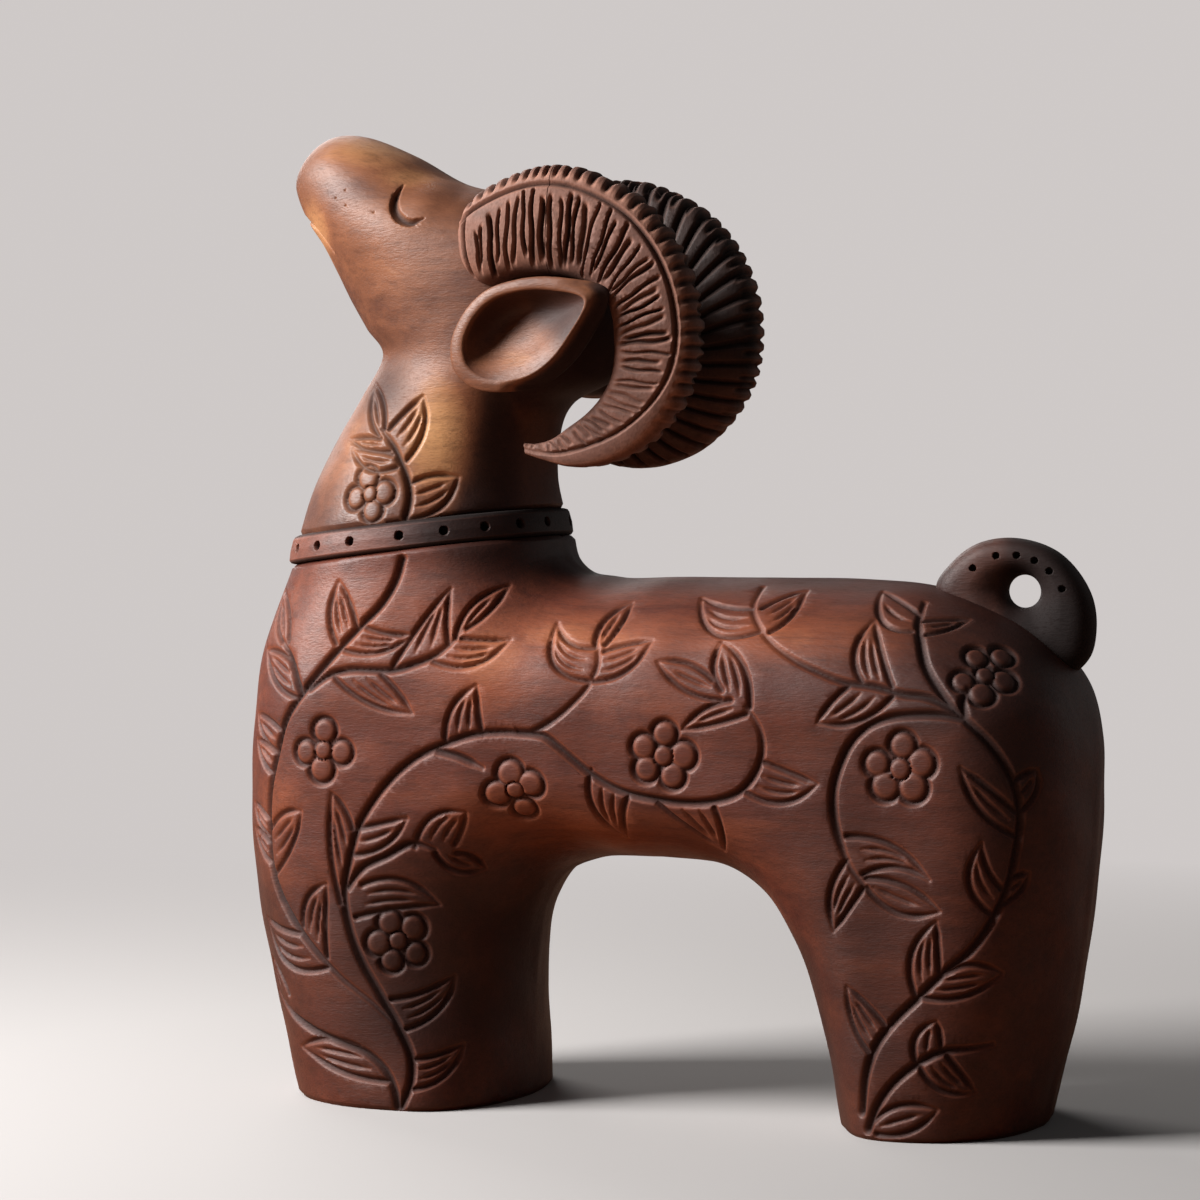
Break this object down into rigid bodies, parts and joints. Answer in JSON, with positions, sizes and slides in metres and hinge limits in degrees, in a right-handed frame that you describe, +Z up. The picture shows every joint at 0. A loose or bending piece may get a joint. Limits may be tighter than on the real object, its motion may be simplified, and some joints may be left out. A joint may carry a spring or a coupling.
{
  "type": "carved wooden ram figurine",
  "caption": "Free-standing carved wooden ram with block legs, a drilled collar, ribbed curled horns, cupped ears and a looped tail.",
  "frame": {"origin": "centre of the bounding box in plan, on the ground under the feet", "axes": "+Z up, the ram faces -X, +Y is its right side"},
  "size_m": [0.2728, 0.092, 0.3028],
  "materials": {
    "oiled_wood": "waxed, dark red-brown stain with worn highlights",
    "shaded_wood": "waxed, near-black brown stain",
    "horn_wood": "waxed, grey-brown stain in the ribs",
    "dowel_wood": "bare"
  },
  "bodies": {
    "root": {"body_left_half": "oiled_wood", "body_right_half": "oiled_wood", "collar_band": "shaded_wood", "head_and_neck": "oiled_wood", "left_horn_root": "horn_wood", "right_horn_root": "horn_wood", "left_horn_curl": "horn_wood", "right_horn_curl": "horn_wood", "left_ear": "oiled_wood", "right_ear": "oiled_wood", "tail_loop": "shaded_wood", "left_neck_dowel": "dowel_wood", "right_neck_dowel": "dowel_wood", "left_horn_dowel": "dowel_wood", "right_horn_dowel": "dowel_wood", "left_horn_splice_dowel": "dowel_wood", "right_horn_splice_dowel": "dowel_wood", "left_ear_dowel": "dowel_wood", "right_ear_dowel": "dowel_wood", "tail_dowel_front": "dowel_wood", "tail_dowel_rear": "dowel_wood", "shoulder_cross_dowel": "dowel_wood", "rump_cross_dowel": "dowel_wood"}
  },
  "joints": []
}
